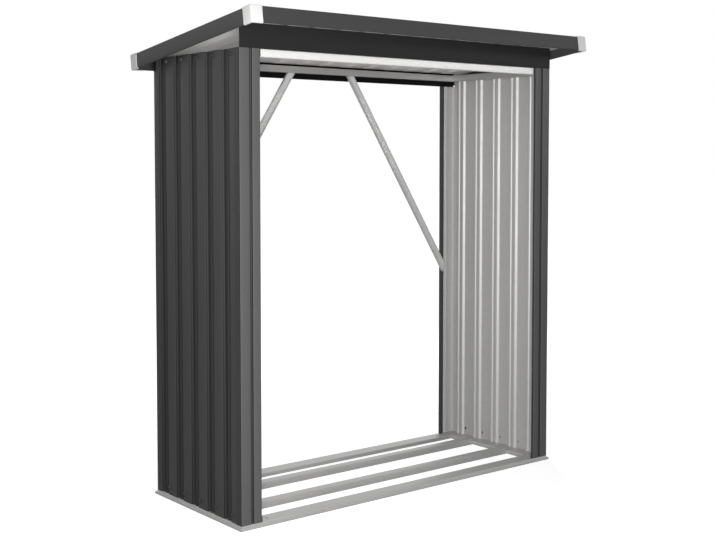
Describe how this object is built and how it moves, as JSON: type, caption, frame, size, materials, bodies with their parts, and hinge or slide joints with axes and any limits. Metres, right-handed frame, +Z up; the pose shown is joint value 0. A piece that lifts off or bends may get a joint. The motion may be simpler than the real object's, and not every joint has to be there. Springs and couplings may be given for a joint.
{
  "type": "log store",
  "caption": "Open-fronted steel log store: folded posts on a galvanised base frame, grooved side walls, and a sloping ribbed roof inside a deep fascia with plastic corner caps.",
  "frame": {"origin": "on the ground, under the middle of the roof's box", "axes": "+X along the front to the viewer's right, +Y from the open front to the open back, +Z up"},
  "size_m": [1.7146, 0.8608, 1.8526],
  "materials": {
    "galvanised_steel": "dull zinc coating",
    "post_paint": "satin anthracite paint",
    "wall_paint": "satin anthracite paint outside, bare zinc inside",
    "roof_paint": "satin anthracite paint above, bare zinc beneath",
    "trim_paint": "satin anthracite paint",
    "white_plastic": "smooth white plastic"
  },
  "bodies": {
    "root": {"sill_front": "galvanised_steel", "sill_back": "galvanised_steel", "sill_left": "galvanised_steel", "sill_right": "galvanised_steel", "bearer_front": "galvanised_steel", "bearer_back": "galvanised_steel", "post_front_left": "post_paint", "post_front_right": "post_paint", "post_back_left": "post_paint", "post_back_right": "post_paint", "wall_left": "wall_paint", "wall_right": "wall_paint", "rail_front": "galvanised_steel", "rail_back": "galvanised_steel", "rail_left": "galvanised_steel", "rail_right": "galvanised_steel", "brace_left": "galvanised_steel", "brace_right": "galvanised_steel", "header_front": "trim_paint", "header_back": "trim_paint", "roof_sheet_left": "roof_paint", "roof_sheet_middle": "roof_paint", "roof_sheet_right": "roof_paint", "fascia_front": "trim_paint", "fascia_back": "trim_paint", "fascia_left": "trim_paint", "fascia_right": "trim_paint", "cap_front_left": "white_plastic", "cap_front_right": "white_plastic", "cap_back_left": "white_plastic", "cap_back_right": "white_plastic"}
  },
  "joints": []
}
